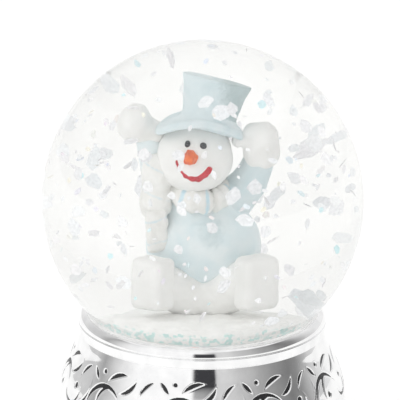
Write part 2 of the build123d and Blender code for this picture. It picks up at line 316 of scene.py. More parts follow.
def ramp(tree, value, stops):
    """A colour ramp with stops of (position, grey or colour)."""
    made = node(tree, "ShaderNodeValToRGB")
    elements = made.color_ramp.elements
    while len(elements) < len(stops):
        elements.new(0.5)
    for element, (position, colour) in zip(elements, stops):
        element.position = position
        shade = (colour,) * 3 if isinstance(colour, (int, float)) else colour
        element.color = (*shade, 1)
    tree.links.new(value, made.inputs["Fac"])
    return made.outputs["Color"]


def mix(tree, factor, first, second):
    """A mix of two colours, each a colour or a socket."""
    made = node(tree, "ShaderNodeMix", data_type="RGBA")
    for name, value in (("Factor", factor), ("A", first), ("B", second)):
        connect(tree, made.inputs[name], value)
    return made.outputs["Result"]


def connect(tree, socket, value):
    """Links a socket to another, or sets it."""
    if isinstance(value, bpy.types.NodeSocket):
        tree.links.new(value, socket)
    elif isinstance(value, (int, float)):
        socket.default_value = value
    else:
        socket.default_value = (*value, 1)


def arithmetic(tree, operation, first, second=0.0, third=0.0):
    """The result of one sum, each operand a number or a socket."""
    made = node(tree, "ShaderNodeMath", operation=operation)
    for socket, value in zip(made.inputs, (first, second, third)):
        connect(tree, socket, value)
    return made.outputs[0]


def bump(tree, height, strength, distance_mm, shader):
    """Fine relief on a shader's surface."""
    made = node(tree, "ShaderNodeBump", {"Strength": strength, "Distance": distance_mm * MM})
    tree.links.new(height, made.inputs["Height"])
    feed(shader, "Normal", made.outputs["Normal"])


def attribute(tree, name):
    """The number stored per vertex under that name."""
    return node(tree, "ShaderNodeAttribute", attribute_name=name).outputs["Fac"]


def wear(piece, made):
    """Gives a piece one material."""
    piece.data.materials.clear()
    piece.data.materials.append(made)


def stand_in(piece, body, slot, *replaced):
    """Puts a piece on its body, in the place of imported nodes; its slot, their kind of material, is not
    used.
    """
    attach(piece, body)
    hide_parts(*replaced)


def paint_mask(piece, name, values):
    """Stores one number per vertex for the piece's material."""
    layer = piece.data.attributes.new(name, "FLOAT", "POINT")
    layer.data.foreach_set("value", np.asarray(values, np.float32))


def points_of(piece):
    """The piece's vertices in millimetres."""
    flat = np.zeros(len(piece.data.vertices) * 3)
    piece.data.vertices.foreach_get("co", flat)
    return flat.reshape(-1, 3) / MM


# ---- Materials ----------------------------------------------------------------------
def show_both(tree, share, first, second, output):
    """Shows a mix of two shaders as the surface."""
    both = node(tree, "ShaderNodeMixShader")
    for socket, value in zip(both.inputs, (share, first, second)):
        tree.links.new(value, socket)
    tree.links.new(both.outputs[0], output.inputs["Surface"])


def lets_lamps_through(tree, glass, output, tint=(1, 1, 1)):
    """Puts a transparent shader in the glass's place for rays from lamps and from matt surfaces."""
    path = node(tree, "ShaderNodeLightPath")
    clear = node(tree, "ShaderNodeBsdfTransparent", {"Color": (*tint, 1)})
    either = arithmetic(tree, "MAXIMUM", path.outputs["Is Shadow Ray"], path.outputs["Is Diffuse Ray"])
    show_both(tree, either, glass, clear.outputs[0], output)


def glass_material(name, ior):
    """Clear soda glass with a trace of unevenness in its tint."""
    made, tree, principled, output = material(name)
    tree.nodes.remove(principled)
    glass = node(tree, "ShaderNodeBsdfGlass", {"IOR": ior, "Roughness": 0.0})
    cloud = noise(tree, place(tree), 0.12, detail=2)
    tint = ramp(tree, cloud, [(0.3, (0.98, 0.98, 0.976)), (0.7, (0.992, 0.992, 0.99))])
    tree.links.new(tint, glass.inputs["Color"])
    lets_lamps_through(tree, glass.outputs[0], output, (0.985, 0.985, 0.985))
    return made


def liquid_material():
    """Water and glycol: clear, with a faint haze that thins and thickens slowly."""
    made, tree, principled, output = material("clear_liquid")
    clear = node(tree, "ShaderNodeBsdfTransparent")
    haze = node(tree, "ShaderNodeBsdfTranslucent", {"Color": (0.96, 0.96, 0.955, 1)})
    cloud = noise(tree, place(tree), 0.15, detail=2)
    amount = arithmetic(tree, "MULTIPLY", cloud, 0.1)
    tree.nodes.remove(principled)
    show_both(tree, amount, clear.outputs[0], haze.outputs[0], output)
    return made


def plating_material():
    """Bright metallised silver: nearly a mirror, with fine hazing and hairline scratches."""
    made, tree, shader, _ = material("silver_plating")
    place_mm = place(tree)
    cloud = noise(tree, place_mm, 0.35, detail=5)
    colour = ramp(tree, cloud, [(0.35, (0.83, 0.83, 0.835)), (0.65, (0.93, 0.93, 0.93))])
    feed(shader, "Base Color", colour)
    set_inputs(shader, {"Metallic": 1.0})
    fine = noise(tree, place_mm, 2.5, detail=6)
    rough = ramp(tree, fine, [(0.3, 0.03), (0.75, 0.09)])
    feed(shader, "Roughness", rough)
    swell = noise(tree, place_mm, 0.4, detail=1)
    bump(tree, swell, 0.12, 0.05, shader)
    return made


def enamel_material():
    """Black paint wiped into the engraving, with tiny pits where the metal glints through."""
    made, tree, shader, _ = material("black_enamel")
    grain = noise(tree, place(tree), 5.0, detail=5, roughness=0.7)
    colour = ramp(tree, grain, [(0.62, (0.012, 0.012, 0.014)), (0.74, (0.2, 0.2, 0.2))])
    feed(shader, "Base Color", colour)
    feed(shader, "Roughness", ramp(tree, grain, [(0.3, 0.22), (0.7, 0.5)]))
    bump(tree, grain, 0.5, 0.04, shader)
    return made


def paint_material(name, light, deep, roughness=0.5, stroke=1.2, mask=None, masked=None):
    """Hand-brushed acrylic on resin: pooled and thin places, brush ridges; mask adds a second colour:
    stripes on the scarf, painted shade on the hat and coat.
    """
    made, tree, shader, _ = material(name)
    place_mm = place(tree)
    broad = noise(tree, place_mm, 0.28 * stroke, detail=3, distortion=0.6)
    colour = ramp(tree, broad, [(0.32, deep), (0.62, light)])
    fine = noise(tree, place_mm, 2.2, detail=6, roughness=0.65)
    if mask:
        ragged = arithmetic(tree, "MULTIPLY_ADD", fine, 0.5, -0.25)
        amount = arithmetic(tree, "ADD", attribute(tree, mask), ragged)
        colour = mix(tree, ramp(tree, amount, [(0.42, 0.0), (0.62, 1.0)]), colour, masked)
    feed(shader, "Base Color", colour)
    low = roughness - 0.08
    feed(shader, "Roughness", ramp(tree, fine, [(0.3, low), (0.7, roughness + 0.12)]))
    set_inputs(shader, {"Subsurface Weight": 0.15, "Subsurface Radius": (0.6 * MM,) * 3})
    bump(tree, fine, 0.35, 0.06, shader)
    return made


def snow_material():
    """Thick white modelling snow with sparkle: fine crystals, teal and silver glitter at its edge, and a
    faint painted glow.
    """
    made, tree, shader, _ = material("snow_paint")
    place_mm = place(tree)
    broad = noise(tree, place_mm, 0.5, detail=4)
    white = ramp(tree, broad, [(0.3, (0.87, 0.87, 0.85)), (0.65, (0.95, 0.95, 0.935))])
    cells = node(tree, "ShaderNodeTexVoronoi", {"Scale": 2.2})
    tree.links.new(place_mm, cells.inputs["Vector"])
    speck = arithmetic(tree, "MULTIPLY", attribute(tree, "rim"), cells.outputs["Color"])
    amount = ramp(tree, speck, [(0.42, 0.0), (0.6, 0.75)])
    feed(shader, "Base Color", mix(tree, amount, white, (0.42, 0.72, 0.69)))
    grain = noise(tree, place_mm, 3.0, detail=6, roughness=0.7)
    bump(tree, grain, 0.8, 0.12, shader)
    # painted light: a faint white emission lifts the snow out of the shade that the figure casts on it
    glow = {"Emission Color": (1.0, 1.0, 0.98, 1), "Emission Strength": 0.06}
    set_inputs(shader, {"Roughness": 0.6, **glow})
    return made


def flake_material(name, colours, coat):
    """Thin plastic film: each flake takes its own tint and shows interference colours, with a faint painted
    glow.
    """
    made, tree, shader, _ = material(name)
    tint = ramp(tree, attribute(tree, "tint"), colours)
    grain = noise(tree, place(tree), 1.6, detail=3)
    pale = arithmetic(tree, "MULTIPLY", grain, 0.25)
    feed(shader, "Base Color", mix(tree, pale, tint, (0.97, 0.97, 0.98)))
    film = {"Thin Film Thickness": 380.0, "Thin Film IOR": 1.6}
    # painted light: a faint white emission makes the flakes glow as if lit through
    glow = {"Emission Color": (1, 1, 1, 1), "Emission Strength": 0.1}
    set_inputs(shader, {"Roughness": 0.6, "Coat Weight": coat, "Coat Roughness": 0.25, **film, **glow})
    feed(shader, "Alpha", ramp(tree, grain, [(0.35, 0.66), (0.65, 0.95)]))
    return made


def rubber_material(name, light, deep, roughness):
    """Moulded rubber: a fine grain and dusty variation."""
    made, tree, shader, _ = material(name)
    place_mm = place(tree)
    grain = noise(tree, place_mm, 2.0, detail=6, roughness=0.7)
    feed(shader, "Base Color", ramp(tree, grain, [(0.3, deep), (0.7, light)]))
    rough = ramp(tree, grain, [(0.3, roughness - 0.1), (0.7, roughness + 0.1)])
    feed(shader, "Roughness", rough)
    bump(tree, grain, 0.4, 0.05, shader)
    return made


# ---- Glass and liquid ---------------------------------------------------------------
def arc(radius, start_deg, end_deg, count):
    """Points of a circle about the ball's centre, as (radius, height); 90 degrees is the top."""
    angles = np.radians(np.linspace(start_deg, end_deg, count))
    return [(max(radius * math.cos(a), 0.0), BALL_Z + radius * math.sin(a)) for a in angles]


def neck_angle(radius, neck):
    """Angle below the horizon at which a sphere of that radius meets the neck."""
    return -math.degrees(math.acos(neck / radius))


def glass_globe():
    """Blown ball with its neck: its outer skin is glass in air, its inner skin glass on water."""
    bore = NECK_RADIUS - GLASS_WALL
    foot, fillet_z = GLOBE_LOW[2], 0.35
    outside = arc(BALL_RADIUS, 90, neck_angle(BALL_RADIUS, NECK_RADIUS), 150)
    outside += [(NECK_RADIUS, foot + fillet_z), (NECK_RADIUS - 0.15, foot + 0.1)]
    inside = [(bore + 0.15, foot + 0.1), (bore, foot + fillet_z)]
    inside += arc(INNER_RADIUS, neck_angle(INNER_RADIUS, bore), 90, 150)
    piece = lathe("glass_ball", outside + inside, 320)
    wear(piece, glass_material("clear_glass", 1.5))
    piece.data.materials.append(glass_material("clear_glass_on_liquid", 1.5 / 1.34))
    limit = INNER_RADIUS + 0.3
    for face in piece.data.polygons:
        at = face.center / MM
        reach = (at - Vector((0, 0, BALL_Z))).length
        if reach < limit and at.z > foot + 1:
            face.material_index = 1
    stand_in(piece, "globe", "clear_glass", "glass_globe")


def liquid_fill():
    """The liquid's outer skin, just inside the glass."""
    radius = INNER_RADIUS - 0.06
    low = neck_angle(radius, MOUND_RADIUS + 0.2)
    outline = arc(radius, 90, low, 60) + [(0, BALL_Z + radius * math.sin(math.radians(low)))]
    piece = lathe("liquid_fill", outline, 96)
    wear(piece, liquid_material())
    stand_in(piece, "swirl", "clear_liquid", "liquid")


# ---- Silver base --------------------------------------------------------------------
def base_profile():
    """Outer outline of the base from the collar's inner lip down to its underside."""
    collar = [(15.2, 25.72), (15.65, 26.3), (15.9, 26.6), (16.2, 26.73), (16.55, 26.68), (16.9, 26.44)]
    collar += [(17.18, 26.1), (17.36, 25.7), (17.45, 25.3)]
    band = [(17.43, 25.24), (17.3, 25.17), (17.37, 25.12), (17.45, 25.07), (17.48, 25.0), (17.485, 24.92)]
    band += [(17.5, 24.0), (17.505, 23.92), (17.49, 23.86), (17.39, 23.82), (17.3, 23.76), (17.34, 23.66)]
    belly = [(17.55, 23.1), (17.97, 21.7), (18.65, 20.05), (19.4, 18.4), (19.85, 17.1), (20.2, 15.8)]
    belly += [(20.35, 13.6), (20.28, 12.1), (19.95, 10.6), (19.5, 9.1), (19.1, 7.6), (18.95, 6.6)]
    belly += [(18.95, 6.0)]
    foot = [(19.03, 5.5), (19.3, 5.2), (19.75, 4.98), (20.05, 4.9), (20.25, 4.7), (20.7, 4.25)]
    foot += [(20.93, 3.5), (20.95, 2.9), (20.85, 2.2), (20.55, 1.5), (20.2, 1.1), (19.95, 1.02)]
    return collar, band, belly, foot


def smooth_line(points, spacing):
    """Points of a Catmull-Rom curve through the given ones, about spacing apart."""
    p = np.asarray(points, float)
    p = np.vstack([2 * p[0] - p[1], p, 2 * p[-1] - p[-2]])
    line = []
    for a, b, c, d in zip(p, p[1:], p[2:], p[3:]):
        steps = max(1, round(np.linalg.norm(c - b) / spacing))
        bend, twist = 2 * a - 5 * b + 4 * c - d, 3 * b - a - 3 * c + d
        for t in np.arange(steps) / steps:
            line.append(0.5 * (2 * b + (c - a) * t + bend * t**2 + twist * t**3))
    line.append(p[-2])
    return np.array(line)


SCROLL_COUNT = 10
SCROLL_Z = 17.6
FRIEZE_LOW, FRIEZE_HIGH = 12.5, 23.0  # heights between which the belly may be engraved
FAR_OUTSIDE = -9.0  # a depth well outside every stroke
STROKES = [  # start, end, the two arcs' bulges: the pen strokes of one scroll, flat, in millimetres
    ((-6.0, -1.3), (-0.1, 0.6), 2.75, 2.15),
    ((-1.3, 1.95), (-3.9, -0.7), -1.35, -0.95),
    ((0.1, -0.6), (6.0, 1.3), -2.75, -2.15),
    ((1.3, -1.95), (3.9, 0.7), -1.35, -0.95),
    ((-2.6, 2.9), (0.4, 4.15), 0.65, 0.05),
    ((-0.2, 1.7), (2.0, 3.7), -0.75, -0.15),
    ((-4.5, 2.6), (-5.6, 4.1), 0.3, -0.25),
    ((3.0, 2.0), (4.6, 3.9), 0.55, 0.05),
]
BERRIES = [((-2.75, -0.55), 0.42), ((2.75, 0.55), 0.42), ((-3.6, 3.9), 0.3)]


def arc_side(x, z, start, end, bulge):
    """Signed distance to the circle through start and end that bulges so far from their chord."""
    start, end = np.array(start), np.array(end)
    chord = end - start
    half = np.linalg.norm(chord) / 2
    normal = np.array([-chord[1], chord[0]]) / (2 * half)
    radius = (half**2 + bulge**2) / (2 * abs(bulge))
    centre = (start + end) / 2 + normal * (bulge - math.copysign(radius, bulge))
    return np.hypot(x - centre[0], z - centre[1]) - radius


def stroke_depth(x, z):
    """How far inside the nearest pen stroke a flat point lies; negative outside."""
    depth = np.full(x.shape, FAR_OUTSIDE)
    for start, end, outer, inner in STROKES:
        first, second = arc_side(x, z, start, end, outer), arc_side(x, z, start, end, inner)
        same_way = outer * inner > 0
        inside = np.minimum(-first, second if same_way else -second)
        depth = np.maximum(depth, inside)
    for (cx, cz), radius in BERRIES:
        depth = np.maximum(depth, radius - np.hypot(x - cx, z - cz))
    return depth


def frieze_depth(angle, radius, height):
    """Depth inside the engraved strokes for places on the belly, given by angle, radius and height."""
    pitch = 2 * math.pi / SCROLL_COUNT
    depth = np.full(angle.shape, FAR_OUTSIDE)
    from_front = angle + math.pi / 2
    local = (from_front + pitch / 2) % pitch - pitch / 2
    for shift in (-pitch, 0, pitch):
        x = radius * np.sin(local + shift)
        depth = np.maximum(depth, stroke_depth(x, height - SCROLL_Z))
    return depth


def wrapped(reach, angle, height):
    """Points about the Z axis, one to a row, from grids of their radius, angle and height."""
    return np.stack([reach * np.cos(angle), reach * np.sin(angle), height], -1).reshape(-1, 3)


def plated_base():
    """Turned casting with real engraved grooves round the belly, and the black enamel in them."""
    collar, band, belly, foot = base_profile()
    segments = 1260
    groove, soft = 0.16, 0.11  # depth of the engraving and width of its sloping side
    inner_wall = [(16.4, 1.0), (16.25, 1.1), (16.25, 9.0), (16.75, 12.0), (16.75, 16.0)]
    inner_wall += [(15.6, 20.0), (13.6, 20.0), (13.6, 22.0), (15.0, 22.0), (15.0, 25.5)]
    outer = [smooth_line(collar, 0.12), band, smooth_line(belly, 0.1), smooth_line(foot, 0.15)]
    outline = np.vstack([*outer, inner_wall])
    angles = np.linspace(0, 2 * math.pi, segments, endpoint=False)
    radius = np.repeat(outline[:, :1], segments, 1)
    height = np.repeat(outline[:, 1:], segments, 1)
    angle = np.repeat(angles[None], len(outline), 0)
    engraved = (height > FRIEZE_LOW) & (height < FRIEZE_HIGH) & (radius > 17.1)
    depth = np.full(radius.shape, FAR_OUTSIDE)
    depth[engraved] = frieze_depth(angle[engraved], radius[engraved], height[engraved])
    share = np.clip((depth + soft / 2) / soft, 0, 1)
    sunk = groove * share**2 * (3 - 2 * share)
    lip = 0.022 * hump(depth, -soft * 0.9, soft * 0.55)
    vertices = wrapped(radius - sunk + lip, angle, height)
    rows, columns = np.arange(len(outline)), np.arange(segments)
    r, c = np.meshgrid(rows, columns, indexing="ij")
    here, following, right = r * segments, (r + 1) % len(outline) * segments, (c + 1) % segments
    quads = np.stack([here + c, following + c, following + right, here + right], -1)
    shell = link_mesh("plated_base", vertices, quads.reshape(-1, 4))
    wear(shell, plating_material())
    stand_in(shell, "globe", "silver_plating", "base_shell")

    filled = depth > -soft * 0.1
    both_rows = filled & np.roll(filled, -1, 0)
    keep = both_rows & np.roll(both_rows, -1, 1) & (r + 1 < len(outline))
    level, thickness = radius - groove * 0.62, 0.2
    top, under = (wrapped(reach, angle, height) for reach in (level, level - thickness))
    enamel = slab("enamel_inlay", top, under, quads[keep])
    wear(enamel, enamel_material())
    stand_in(enamel, "globe", "black_enamel", "base_enamel")


def slab(name, top, under, faces):
    """A closed thin body from the chosen faces of a surface and the same faces a little below."""
    edges = np.concatenate([faces[:, [k, (k + 1) % 4]] for k in range(4)])
    known = {tuple(edge) for edge in edges.tolist()}
    rim = [(a, b) for a, b in known if (b, a) not in known]
    used = np.unique(faces)
    number = {int(old): new for new, old in enumerate(used)}
    count = len(used)
    vertices = np.concatenate([top[used], under[used]])
    upper = [[number[int(v)] for v in face] for face in faces]
    lower = [[v + count for v in face[::-1]] for face in upper]
    sides = [[number[b], number[a], number[a] + count, number[b] + count] for a, b in sorted(rim)]
    return link_mesh(name, vertices, upper + lower + sides)


def hidden_pieces():
    """The plug, the silicone seat and the anti-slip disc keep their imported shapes."""
    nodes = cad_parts
    white = rubber_material("white_rubber", (0.86, 0.86, 0.84), (0.78, 0.78, 0.75), 0.55)
    dark = rubber_material("dark_rubber", (0.05, 0.05, 0.055), (0.025, 0.025, 0.03), 0.7)
    wear(nodes["neck_plug"], white)
    wear(nodes["underside_pad"], dark)
    gap = 0.03  # left free on each side of the seat
    neck, edge = neck_angle(BALL_RADIUS, NECK_RADIUS), neck_angle(BALL_RADIUS, SEAT_RADIUS)
    outline = arc(BALL_RADIUS + gap, neck, edge, 14)
    outline += [(SEAT_RADIUS - gap, SEAT_LEDGE), (NECK_RADIUS + gap, SEAT_LEDGE)]
    seat = lathe("silicone_seat", outline, 192)
    wear(seat, rubber_material("clear_silicone", (0.86, 0.88, 0.87), (0.76, 0.8, 0.79), 0.35))
    stand_in(seat, "globe", "clear_silicone", "seat_adhesive")


# ---- Snowman ------------------------------------------------------------------------
def leaning(lean):
    """Directions of a leaning piece as columns: to the viewer's right, away, and along its axis."""
    side, back = (math.radians(angle) for angle in lean)
    up = Vector((math.sin(side), math.sin(back) * math.cos(side), math.cos(back) * math.cos(side)))
    up.normalize()
    right = Vector((1, 0, -math.tan(side))).normalized()
    return np.array([right, up.cross(right), up]).T


def on_head(side, up, out=HEAD_RADIUS):
    """A point on the face, by degrees to the viewer's right and upwards."""
    az, el = math.radians(side), math.radians(up)
    return HEAD + out * np.array([math.sin(az) * math.cos(el), -math.cos(az) * math.cos(el), math.sin(el)])


def figure_piece(name, distance, made, slot, replaces, margin=0.6, step=0.14, rounds=3):
    """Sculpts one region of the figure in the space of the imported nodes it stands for."""
    corners = [box_mm(n) for n in replaces]
    low = np.min([c[0] for c in corners], axis=0) - margin
    high = np.max([c[1] for c in corners], axis=0) + margin
    piece = sculpt(name, distance, low, high, step, rounds)
    wear(piece, made)
    stand_in(piece, "globe", slot, *replaces)
    return piece


def head_shape(p):
    """Round head, a little fuller at the cheeks."""
    skull = egg(p, HEAD + (-0.1, 0, 0.1), (HEAD_RADIUS * 0.99, HEAD_RADIUS, HEAD_RADIUS * 0.97))
    cheeks = egg(p, HEAD + (-0.1, -0.5, -0.75), (3.85, 3.6, 2.85))
    return join(skull, cheeks, 0.8) + 0.03 * ripple(p, 2.2, 11)


def crown_shape(p):
    """Crown that flares towards a slightly dished top."""
    q = (p - CROWN_FOOT) @ leaning(CROWN_LEAN)
    t = np.clip(q[:, 2] / CROWN_HEIGHT, 0, 1)
    around = np.arctan2(q[:, 1], q[:, 0])
    flare = 2.8 + 0.85 * t + 0.3 * t**4
    radius = flare * (1 + 0.015 * np.cos(2 * around + 0.5) + 0.01 * np.cos(3 * around))
    reach = np.hypot(q[:, 0], q[:, 1])
    top = q[:, 2] - (CROWN_HEIGHT - 0.25 * np.exp(-((reach / 2.8) ** 4)))
    body = carve(reach - radius, -top, 0.3)
    return np.maximum(body, -q[:, 2] - 0.9) * 0.95 + 0.03 * ripple(p, 1.8, 21)


def brim_shape(p):
    """Floppy round brim: its sides droop and its edge is a little thicker."""
    q = (p - BRIM_CENTRE) @ leaning(BRIM_LEAN)
    reach = np.hypot(q[:, 0], q[:, 1])
    lift = q[:, 2] + 0.07 * q[:, 0] ** 2 - 0.1
    plate = np.abs(lift) - 0.4 - 0.12 * hump(reach, 4.5, 0.4)
    edge = reach - 4.85 * (1 + 0.015 * np.cos(3 * np.arctan2(q[:, 1], q[:, 0])))
    return carve(plate, -edge, 0.35) * 0.85 + 0.025 * ripple(p, 1.6, 22)


def hat_shape(p):
    """Crown and brim in one."""
    return join(crown_shape(p), brim_shape(p), 0.9)


def coat_shape(p):
    """Pear-shaped coat with sloping shoulders."""
    belly = egg(p, (0.1, 0.3, 37.7), (5.9, 4.8, 5.2))
    chest = limb(p, (0.0, 0.3, 38.5), (-0.1, 0.2, 43.0), 4.6, 2.9)
    shoulders = limb(p, (-2.6, 0.4, 42.3), (2.5, 0.3, 42.4), 2.0, 1.9)
    return join(join(belly, chest, 1.2), shoulders, 1.2) + 0.03 * ripple(p, 2.4, 31)


def sleeve_shape(start, bend, end, radii, seed):
    """The distance function of an arm that bends once."""

    def shape(p):
        return path_limb(p, [start, bend, end], radii) + 0.035 * ripple(p, 1.5, seed)

    return shape


def hand_left_shape(p):
    """Round mitten with its cuff."""
    palm = egg(p, (-7.6, 0.1, 51.4), (1.9, 1.8, 2.25), y=10)
    cuff = limb(p, (-6.8, 0.2, 50.6), (-5.2, 0.1, 50.2), 1.6, 1.25)
    return join(palm, cuff, 0.5) + 0.07 * ripple(p, 1.4, 41)


def hand_right_shape(p):
    """Squarer mitten with a short thumb towards the hat."""
    palm = brick(p, (6.25, -0.4, 48.95), (2.0, 1.8, 2.5), 1.5, y=-4)
    thumb = limb(p, (5.0, -0.9, 50.1), (3.75, -1.25, 49.7), 0.95, 0.7)
    return join(palm, thumb, 0.35) + 0.08 * ripple(p, 1.5, 42)


def boot_shape(centre, half, rounding, turned, depth, seed):
    """The distance function of a blocky boot, turned about the vertical, with a hand-cut surface."""

    def shape(p):
        return brick(p, centre, half, rounding, z=turned) + depth * ripple(p, 2.0, seed)

    return shape


boot_left_shape = boot_shape((-5.5, -5.9, 34.6), (2.05, 1.8, 3.0), 0.75, -38, 0.06, 51)
boot_right_shape = boot_shape((5.95, -5.4, 34.7), (2.2, 1.85, 3.1), 0.95, 34, 0.05, 52)


def legs_shape(p):
    """Two short spread legs that meet under the coat."""
    left = limb(p, (-1.4, -1.9, 32.8), (-4.4, -4.4, 34.3), 2.4, 2.3)
    right = limb(p, (1.6, -1.9, 32.8), (5.2, -4.0, 34.9), 2.4, 2.5)
    return join(left, right, 1.1) + 0.09 * ripple(p, 1.7, 53) + 0.03 * ripple(p, 0.8, 54)


def wrap_points(p):
    """Places in the scarf ring's own frame, and their angle from the front to the viewer's right."""
    q = turn(p, (-0.3, -0.6, 43.75), 8, 4)
    return q, np.arctan2(q[:, 0], -q[:, 1])


def wrap_shape(p):
    """Thick scarf: a rolled band with wide soft ribs and one deep crease."""
    q, around = wrap_points(p)
    ring = np.hypot(q[:, 0], q[:, 1] / 1.12) - 2.35
    tube = np.hypot(ring, q[:, 2] * 0.86) - 1.17
    ribs = 0.09 * np.cos(around * 13 + 0.8) + 0.05 * ripple(p, 1.0, 60)
    crease = 0.4 * hump(around, 0.5, 0.05)
    return (tube + ribs + crease) * 0.85


def fold_shape(p):
    """The scarf's bulky loop beside the cheek."""
    upper = egg(p, (-4.9, -1.7, 45.9), (1.8, 1.65, 2.4), y=6)
    lower = egg(p, (-5.1, -1.8, 42.9), (1.75, 1.6, 2.1), y=-6)
    return join(upper, lower, 0.7) + 0.13 * ripple(p, 1.3, 61) + 0.05 * ripple(p, 0.6, 63)


def tail_shape(p):
    """The scarf's hanging end."""
    strip = brick(p, (-4.9, -2.85, 40.0), (1.2, 0.7, 2.4), 0.55, x=6, y=-6, z=12)
    return strip + 0.11 * ripple(p, 1.3, 62) + 0.04 * ripple(p, 0.6, 64)


def nose_shape(p):
    """Blunt carrot."""
    tip = limb(p, on_head(-8, 17, HEAD_RADIUS - 0.4), on_head(-9.5, 14, HEAD_RADIUS + 0.9), 0.92, 0.6)
    return tip + 0.1 * ripple(p, 0.6, 71)


def eyes_shape(p):
    """Two painted lumps of coal."""
    left = egg(p, on_head(-17, 37, HEAD_RADIUS + 0.02), (0.33, 0.3, 0.46), y=8)
    right = egg(p, on_head(14, 34.5, HEAD_RADIUS + 0.02), (0.4, 0.3, 0.42), y=-14)
    return np.minimum(left, right)


def mouth_shape(p):
    """A brushed smile that swells towards the viewer's right."""
    sides, ups = (-32, -26, -17, -7, 3, 12, 21), (7, -4, -13, -18, -19, -14, -5)
    route = [on_head(side, up, HEAD_RADIUS + 0.02) for side, up in zip(sides, ups)]
    radii = (0.18, 0.27, 0.33, 0.4, 0.44, 0.43, 0.4)
    return path_limb(p, route, radii) + 0.06 * ripple(p, 0.7, 72)


def mound_shape(p):
    """Low bed of snow with a rounded edge and a flat underside."""
    reach = np.hypot(p[:, 0], p[:, 1])
    around = np.arctan2(p[:, 1], p[:, 0])
    top = 31.0 - 0.9 * (reach / 10) ** 2 + 0.2 * np.cos(3 * around + 1) * np.clip(reach / 8, 0, 1)
    body = carve(p[:, 2] - top, (MOUND_RADIUS - 0.1) - reach, 2.6)
    lumps = 0.12 * ripple(p, 2.2, 81) + 0.06 * ripple(p, 0.9, 82)
    return np.maximum(body + lumps, MOUND_LOW[2] + 0.03 - p[:, 2])


BLUE = (0.74, 0.82, 0.84), (0.63, 0.745, 0.775)  # the coat's blue, where thin and where pooled
SCARF_BANDS = ((-34, 9), (13, 7), (75, 9), (-105, 10), (150, 12))  # angle from the front and half width


def top_hat():
    """Top hat, with painted shade on the viewer's right of its crown, deeper towards its top."""
    # painted shade: the darker blue that the 'shade' mask brings in stands for the shade on the crown's
    # right side
    paint = paint_material("blue_hat_paint_and_shade", *BLUE, 0.42, mask="shade", masked=(0.47, 0.57, 0.58))
    piece = figure_piece("top_hat", hat_shape, paint, "blue_paint", ["hat_crown", "hat_brim"])
    q = (points_of(piece) - CROWN_FOOT) @ leaning(CROWN_LEAN)
    # painted shade: darker towards the viewer's right and the top of the crown, none on the brim
    shade = np.clip(0.38 + 0.13 * q[:, 0] + 0.03 * (q[:, 2] - 3), 0, 0.66)
    paint_mask(piece, "shade", shade * (q[:, 2] > 0.8))


def coat_and_sleeves():
    """Coat, with painted shade below the scarf, and the two raised arms."""
    light, deep = (0.8, 0.87, 0.885), (0.71, 0.82, 0.85)
    paint = paint_material("blue_coat_paint_and_shade", light, deep, 0.42, mask="shade", masked=(0.62, 0.72, 0.74))
    coat = figure_piece("coat_body", coat_shape, paint, "blue_paint", ["coat"])
    p = points_of(coat)
    # painted shade: a darker blue in the middle of the coat just below the scarf, where the scarf shades it
    paint_mask(coat, "shade", 0.6 * hump(p[:, 0], 1.0, 2.6) * hump(p[:, 2], 40.0, 3.2))
    left = sleeve_shape((-2.6, 0.9, 42.6), (-4.9, 0.6, 46.0), (-5.8, 0.4, 49.2), (2.1, 1.7, 1.45), 34)
    right = sleeve_shape((2.9, 0.4, 42.2), (4.9, 0.1, 44.6), (6.2, -0.1, 47.4), (2.2, 1.95, 1.55), 35)
    # painted light: the left sleeve is painted a paler blue than the coat and the right sleeve, for the
    # light from the viewer's left
    pale = paint_material("lit_blue_paint", (0.84, 0.885, 0.895), (0.77, 0.85, 0.87), 0.42)
    blue = paint_material("blue_paint", *BLUE, 0.42)
    figure_piece("left_sleeve", left, pale, "blue_paint", ["sleeve_left"])
    figure_piece("right_sleeve", right, blue, "blue_paint", ["sleeve_right"])


def scarf_pieces():
    """Ring, loop and hanging end, with painted blue stripes."""
    white, grey, stripe = (0.89, 0.89, 0.87), (0.82, 0.82, 0.79), (0.6, 0.77, 0.85)
    paint = paint_material("scarf_paint", white, grey, 0.5, 2.2, "stripe", stripe)
    wrap = figure_piece("scarf_ring", wrap_shape, paint, "scarf_paint", ["scarf_wrap"])
    around = np.degrees(wrap_points(points_of(wrap))[1])
    bands = [hump(around, at, half) for at, half in SCARF_BANDS]
    paint_mask(wrap, "stripe", 0.62 * np.max(bands, axis=0))
    fold = figure_piece("scarf_loop", fold_shape, paint, "scarf_paint", ["scarf_fold"])
    p = points_of(fold)
    paint_mask(fold, "stripe", 0.5 * hump((p[:, 2] + 0.4 * p[:, 0]) % 3.1, 1.5, 0.35))
    tail = figure_piece("scarf_end", tail_shape, paint, "scarf_paint", ["scarf_tail"])
    p = points_of(tail)
    paint_mask(tail, "stripe", 0.52 * hump((p[:, 2] - 0.3 * p[:, 0]) % 2.6, 1.2, 0.35))


def face_details():
    """Nose, eyes and smile, on finer grids than the rest."""
    orange = paint_material("orange_paint", (0.92, 0.19, 0.03), (0.7, 0.08, 0.015), 0.35, 4.0)
    black = paint_material("black_paint", (0.03, 0.035, 0.045), (0.015, 0.018, 0.022), 0.2)
    red = paint_material("red_paint", (0.62, 0.015, 0.035), (0.48, 0.01, 0.025), 0.3, 3.0)
    figure_piece("carrot_nose", nose_shape, orange, "orange_paint", ["nose"], step=0.08)
    figure_piece("coal_eyes", eyes_shape, black, "black_paint", ["eyes"], step=0.05)
    figure_piece("painted_smile", mouth_shape, red, "red_paint", ["mouth"], step=0.06)


def snow_bed():
    """The mound, with glitter towards its edge."""
    paint = snow_material()
    mound = figure_piece("snow_bed", mound_shape, paint, "snow_paint", ["snow_mound"], 0.3, 0.2, 1)
    p = points_of(mound)
    paint_mask(mound, "rim", np.clip((np.hypot(p[:, 0], p[:, 1]) - 10.4) / 1.2, 0, 1))


